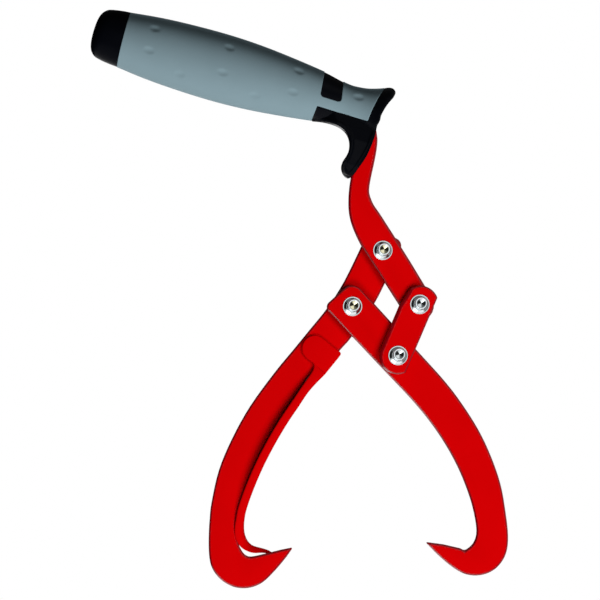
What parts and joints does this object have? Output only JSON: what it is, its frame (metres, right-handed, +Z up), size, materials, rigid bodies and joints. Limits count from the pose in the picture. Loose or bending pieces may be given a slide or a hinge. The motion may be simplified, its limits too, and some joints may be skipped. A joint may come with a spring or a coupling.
{
  "type": "log tongs",
  "caption": "One-hand log lifting tongs: a pistol-shaped two-colour grip on a scissor linkage of flat steel bars whose hooks close round a log.",
  "frame": {"origin": "the middle of the hand grip, on the middle plane of the handle's steel bar", "axes": "+X towards the front of the handle, where the finger hook is, +Z up from the hooks to the grip, +Y towards the side with the factory rivet heads, so the washers face -Y"},
  "size_m": [0.2087, 0.028, 0.2895],
  "materials": {
    "red_paint": "gloss red paint on steel",
    "zinc": "bright zinc plate",
    "black_plastic": "satin black moulding",
    "grey_skin": "soft matt skin with low oval bumps"
  },
  "bodies": {
    "handle": {"handle_arm": "red_paint", "handle_core": "black_plastic", "handle_grip": "grey_skin", "handle_end_cap": "black_plastic", "main_rivet": "zinc", "main_washer": "zinc", "link_rivet": "zinc", "link_washer": "zinc"},
    "left_arm": {"left_arm": "red_paint", "second_hook": "red_paint", "second_hook_weld": "red_paint", "left_rivet": "zinc", "left_washer": "zinc"},
    "link": {"link": "red_paint", "lower_rivet": "zinc", "lower_washer": "zinc"},
    "right_arm": {"right_arm": "red_paint"}
  },
  "joints": [
    {"name": "main_pivot", "type": "hinge", "parent": "handle", "child": "left_arm", "pos_m": [0.0824, 0, -0.0912], "axis": [0, 1, 0], "range_deg": [-24, 70]},
    {"name": "link_pivot", "type": "hinge", "parent": "handle", "child": "link", "pos_m": [0.10072, 0, -0.11816], "axis": [0, 1, 0], "range_deg": [-28, 80]},
    {"name": "jaw_pivot", "type": "hinge", "parent": "left_arm", "child": "right_arm", "pos_m": [0.06728, 0, -0.11917], "axis": [0, 1, 0], "range_deg": [-68, 24]}
  ],
  "couplings": [
    {"joint": "link_pivot", "follows": "main_pivot", "ratio": 1.1348},
    {"joint": "jaw_pivot", "follows": "main_pivot", "ratio": -0.9642}
  ]
}
